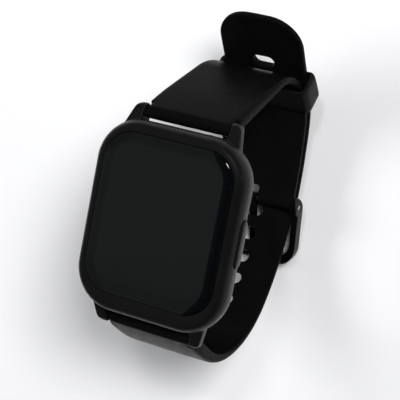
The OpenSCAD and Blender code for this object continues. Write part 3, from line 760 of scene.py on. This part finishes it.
def buckle_half():
    path = buckle_path
    end = path.length

    def thick(s):
        if s < 0:
            return round_end(s, END_R)
        if s > end:
            return round_end(s - end, BUCKLE_END_R)
        h = float(np.interp(s, [0, 10, 25], [END_R, 1.35, BUCKLE_HALF_T / 2]))
        return h + (BUCKLE_END_R - h) * ease((s - end + BUCKLE_END_L) / BUCKLE_END_L)

    def lift(s):
        return -BUCKLE_BAR_LIFT * ease((s - end + BUCKLE_END_L) / BUCKLE_END_L)

    rows = end_rows() + list(np.arange(3.1, end - 0.2, ROW_STEP)) + [end]
    rows += [end + BUCKLE_END_R * math.sin(a) for a in np.linspace(0, math.pi / 2, 10)[1:]]
    strap = swept_strap("buckle_strap_body", path, rows, front_half(path), thick, 1, None, lift)
    strap_cut(strap, 1)
    cut(strap, rod("bar_bore", -12, 12, 0.6, AXIS[0], AXIS[1], 40))
    notch = plate_stack("notch", [(2.8, 6, 0.5, -4), (2.8, 6, 0.5, 4)], 0, 6)
    notch.data.transform(Matrix.Translation((0, AXIS[0] * MM, AXIS[1] * MM)))
    cut(strap, notch)
    return strap


def strap_cut(strap, sign):
    """Bore for the spring bar, and the opening for its knob."""
    cut(strap, rod("tube_bore", -12, 12, 0.85, sign * BAR_Y, BAR_Z, 40))
    cut(strap, knob_slot(sign))


def slot_cutter(path, s, side, half):
    """Oblong hole with rounded rims, across the strap at a distance along it."""
    p, n, d = path.at(s)
    n = n * side
    inner, outer = 0.26, 0.28  # radii of the rims
    bends = np.linspace(0.15, math.pi / 2, 5)
    levels = [(-3.0, 0.34), (-half - 0.02, 0.34)]  # (height, growth)
    levels += [(-half + inner * (1 - math.cos(a)), inner * (1 - math.sin(a))) for a in bends]
    levels += [(half - outer * (1 - math.cos(a)) - 0.05, outer * (1 - math.sin(a))) for a in bends[::-1]]
    levels += [(half + 0.02, 0.36), (3.0, 0.36)]
    rings = []
    for h, grow in levels:
        w, l = SLOT_W + 2 * grow, SLOT_L + 2 * grow
        rings.append([world(p + h * n + y * d, x) for x, y in rounded_rect(w, l, l / 2 - 0.001, 10)])
    return stack("slot", rings)


def tail_half():
    path = tail_path
    end = path.length
    r = TAIL_TIP_R
    straight = front_half(path)

    def half(s):
        w = straight(s)
        if s > end - r:
            w = w - r + math.sqrt(max(r * r - (s - end + r) ** 2, 0.0))
        return w

    def edge_distance(x, s):
        if s < end - r:
            return 99
        cx, cs = FREE_HALF_W - r, end - r
        if abs(x) <= cx:
            return end - s
        return r - math.hypot(abs(x) - cx, s - cs)

    def thick(s):
        if s < 0:
            return round_end(s, END_R)
        return float(np.interp(s, [0, 10, 25], [END_R, 1.35, TAIL_HALF_T / 2]))

    rows = end_rows() + list(np.arange(3.1, end - r, ROW_STEP)) + list(np.linspace(end - r, end - 1.5, 16))
    rows += [end - i for i in (1.25, 1.05, 0.9, 0.8, 0.7, 0.62, 0.54, 0.46, 0.39, 0.32, 0.26, 0.2,
                               0.15, 0.1, 0.06, 0.03, 0.0)]
    strap = swept_strap("tail_strap_body", path, rows, half, thick, -1, edge_distance)
    strap_cut(strap, -1)
    places = [SLOT_AT + k * SLOT_PITCH for k in range(-SLOTS_WORN, SLOTS_FREE + 1)]
    cut(strap, joined("slots", [slot_cutter(path, s, -1, thick(s)) for s in places]), sharp=30)
    return strap


dress(buckle_half(), M_STRAP, "silicone", "upper_strap", "buckle_strap")
dress(tail_half(), M_STRAP, "silicone", "lower_strap", "tail_strap")


# ---------------------------------------------------------------- keeper and buckle

def keeper():
    """Loop round both strap halves: a rounded section carried round a rounded rectangle."""
    p, n, d = buckle_path.at(KEEPER_AT)
    mid, half_h = (KEEPER_OUT - KEEPER_IN) / 2, (KEEPER_OUT + KEEPER_IN) / 2
    half_w = KEEPER_HALF_W + KEEPER_SIDE_WALL
    inner = rounded_rect(2 * KEEPER_HALF_W, 2 * half_h, 0.5, 8)
    outer = rounded_rect(2 * half_w, 2 * (half_h + KEEPER_WALL), 1.35, 8)
    sides = 28
    section = []
    for k in range(sides):
        c, q = math.cos(2 * math.pi * k / sides), math.sin(2 * math.pi * k / sides)
        section.append((math.copysign(abs(c) ** 0.42, c), math.copysign(abs(q) ** 0.55, q)))
    verts, faces = [], []
    for (xi, yi), (xo, yo) in zip(inner, outer):
        for u, v in section:
            f = (u + 1) / 2
            x, y = xi + (xo - xi) * f, yi + (yo - yi) * f
            if y > 0:
                y += 0.1 * (1 - (x / half_w) ** 2) * f
            verts.append(world(p + (y + mid) * n + v * KEEPER_L / 2 * d, x))
    for i in range(len(inner)):
        after = (i + 1) % len(inner)
        for k in range(sides):
            m = (k + 1) % sides
            faces.append((i * sides + k, i * sides + m, after * sides + m, after * sides + k))
    return new_object("keeper_body", verts, faces, 50)


dress(keeper(), M_KEEPER, "silicone", "keeper", "strap_keeper")
dress(melt(node_copy("buckle_frame_body", "buckle_frame"), 0.11, 7), M_BUCKLE,
      "dark_steel", "buckle", "buckle_frame")
dress(melt(node_copy("buckle_tongue_body", "buckle_tongue"), 0.06, 5), M_BUCKLE,
      "dark_steel", "tongue", "buckle_tongue")


def side_button():
    """Domed oblong cap on its stem, with the groove of the retaining clip."""
    back, y, z = button_place()
    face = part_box("side_button")[1].x / MM
    steps = [(face - 1.1, 0.16), (face - 1.04, 0.04), (face - 0.96, 0.0), (face - 0.36, 0.0)]
    steps += [(face - 0.36 + 0.3 * math.sin(a), 0.4 * (1 - math.cos(a))) for a in np.linspace(0.15, 1.5, 9)]
    steps += [(face - 0.03, 0.6), (face - 0.012, 0.85), (face, 1.1)]
    outline = [(x, BUTTON_L - 2 * e, BUTTON_W - 2 * e) for x, e in steps]
    cap = pill("side_button_body", y, z, outline, 14, 50)
    stem = [(back, 0.66), (back + 0.08, 0.74), (13.85, 0.74), (13.851, 0.5), (14.149, 0.5),
            (14.15, 0.74), (face - 0.9, 0.74)]
    return cut(cap, stack("stem", [circle_x(x, r, y, z, 40) for x, r in stem]), "UNION", 50)


dress(side_button(), M_BUTTON, "button_plastic", "button", "side_button")
dress(melt(node_copy("rear_cover_body", "rear_cover"), 0.13, 3), M_COVER,
      "case_body", "case", "rear_cover")


def sensor_window():
    """Flat round lens with a rounded rim, in the middle of the rear cover."""
    profile = [(6.55, -9.2), (6.6, -9.3), (6.6, -9.95)]
    profile += [(6.1 + 0.5 * math.cos(a), -9.98 - 0.52 * math.sin(a))
                for a in np.linspace(0.1, math.pi / 2, 10)]
    profile += [(4.5, -10.5), (2.5, -10.5), (0.8, -10.5)]
    return lathe("sensor_window_body", profile, (0, 0), 96)


dress(sensor_window(), M_SENSOR, "sensor_glass", "case", "sensor_window")

for node, material in {
    "glass_gasket": M_SEAL, "display_panel": M_DISPLAY, "display_flex": M_FLEX, "inner_frame": M_TRAY,
    "main_board": M_BOARD, "board_chips": M_CHIP, "battery": M_FOIL, "battery_pad": M_SEAL,
    "vibration_motor": M_STEEL, "antenna_strip": M_GOLD, "sensor_board": M_BOARD, "sensor_leds": M_LED,
    "rear_gasket": M_SEAL, "charging_contacts": M_GOLD, "rear_screws": M_DARK_STEEL, "button_seal": M_SEAL,
    "button_clip": M_STEEL, "button_switch": M_TRAY, "switch_plunger": M_TRAY,
    "upper_bar_tube": M_STEEL, "upper_bar_fixed_pin": M_STEEL, "upper_bar_release_pin": M_STEEL,
    "lower_bar_tube": M_STEEL, "lower_bar_fixed_pin": M_STEEL, "lower_bar_release_pin": M_STEEL,
    "buckle_bar": M_STEEL,
}.items():
    dress(frame["nodes"][node], material)

# Each spring gets a mesh of its own and goes with its strap; the real spring shortens as the release pin
# behind it slides in
for end in ("upper", "lower"):
    coil = dress(node_copy(f"{end}_spring_body", f"{end}_bar_spring"), M_STEEL,
                 "steel", f"{end}_strap", f"{end}_bar_spring")
    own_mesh(coil)


# ---------------------------------------------------------------- studio

def floor():
    """Large white sheet just below the part."""
    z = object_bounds()[0].z - 0.0002
    size, n = 1.6, 24
    verts = [((i / n - 0.5) * size, (j / n - 0.5) * size, z) for j in range(n + 1) for i in range(n + 1)]
    faces = [(j * (n + 1) + i, j * (n + 1) + i + 1, (j + 1) * (n + 1) + i + 1, (j + 1) * (n + 1) + i)
             for j in range(n) for i in range(n)]
    obj = new_object("studio_floor", verts, faces)
    m = Mat("floor_paper")
    colour = m.ramp(m.noise(9, 3), [(0.3, (0.90, 0.90, 0.915)), (0.7, (0.92, 0.92, 0.935))])
    m.finish(colour, m.span(m.noise(40, 3), 0.75, 0.85))
    obj.data.materials.append(m.m)
    obj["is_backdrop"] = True


def area(name, place, aim, size, power, glossy):
    data = bpy.data.lights.new(name, "AREA")
    data.shape = "RECTANGLE"
    data.size, data.size_y = size
    data.energy = power
    obj = bpy.data.objects.new(name, data)
    obj.location = place
    obj.rotation_euler = (Vector(aim) - Vector(place)).to_track_quat("-Z", "Y").to_euler()
    obj.visible_glossy = glossy
    bpy.context.scene.collection.objects.link(obj)


def studio():
    """Floor, three lights, and surroundings that only change across X and, more gently, across Y."""
    floor()
    area("key_light", (0.52, 0.38, 0.80), (0, 0, 0), (0.32, 0.32), 9.4, False)
    area("left_light", (-0.66, 0.06, 0.42), (0, -0.02, 0), (0.4, 0.3), 3.15, False)
    area("top_light", (0.14, 0.40, 0.83), (0, 0, 0), (0.10, 0.10), 1.3, True)
    scene_world = bpy.data.worlds.new("studio")
    scene_world.use_nodes = True
    tree = scene_world.node_tree
    coord = tree.nodes.new("ShaderNodeTexCoord")
    axes = tree.nodes.new("ShaderNodeSeparateXYZ")
    tree.links.new(coord.outputs["Generated"], axes.inputs["Vector"])
    span = tree.nodes.new("ShaderNodeMapRange")
    span.inputs["From Min"].default_value = -1.0
    tree.links.new(axes.outputs["X"], span.inputs["Value"])
    ramp = tree.nodes.new("ShaderNodeValToRGB")
    panel, dark = (0.235, 0.25, 0.245), (0.004, 0.004, 0.005)
    fill_ramp(ramp, [(0.0, (0.17, 0.175, 0.172)), (0.21, (0.175, 0.18, 0.178)),
                     (0.262, panel), (0.335, panel), (0.352, (0.03, 0.036, 0.06)),
                     (0.42, (0.014, 0.018, 0.034)), (0.46, dark), (0.60, dark),
                     (0.635, (0.06, 0.07, 0.095)), (0.67, (0.006, 0.006, 0.007)),
                     (1.0, (0.04, 0.04, 0.042))])
    tree.links.new(span.outputs["Result"], ramp.inputs["Fac"])
    fade = tree.nodes.new("ShaderNodeValToRGB")
    levels = [(0.0, 0.72), (0.36, 0.74), (0.385, 0.8), (0.41, 1.0), (0.475, 1.0), (0.50, 0.78),
              (0.60, 0.7), (1.0, 0.7)]
    fill_ramp(fade, [(at, (level, level, level)) for at, level in levels])
    across_y = tree.nodes.new("ShaderNodeMapRange")
    across_y.inputs["From Min"].default_value = -1.0
    tree.links.new(axes.outputs["Y"], across_y.inputs["Value"])
    tree.links.new(across_y.outputs["Result"], fade.inputs["Fac"])
    product = tree.nodes.new("ShaderNodeVectorMath")
    product.operation = "MULTIPLY"
    tree.links.new(ramp.outputs["Color"], product.inputs[0])
    tree.links.new(fade.outputs["Color"], product.inputs[1])
    tree.links.new(product.outputs["Vector"], tree.nodes["Background"].inputs["Color"])
    bpy.context.scene.world = scene_world
    bpy.context.scene.view_settings.view_transform = "Standard"


def camera():
    """The photograph's camera, as worked out from the picture."""
    forward = Vector((-0.4097, -0.14389, -0.9008)).normalized()
    right = Vector((0.88211, 0.18912, -0.43141))
    right = (right - forward * right.dot(forward)).normalized()
    up = right.cross(forward)
    m = Matrix((right, up, -forward)).transposed().to_4x4()
    m.translation = Vector((0.121341, 0.047225, 0.277944))
    data = bpy.data.cameras.new("photo_camera")
    data.sensor_width = 36
    data.lens = 123.73
    data.clip_start, data.clip_end = 0.01, 10
    cam = bpy.data.objects.new("photo_camera", data)
    cam.matrix_world = m
    bpy.context.scene.collection.objects.link(cam)
    bpy.context.scene.camera = cam


studio()
camera()
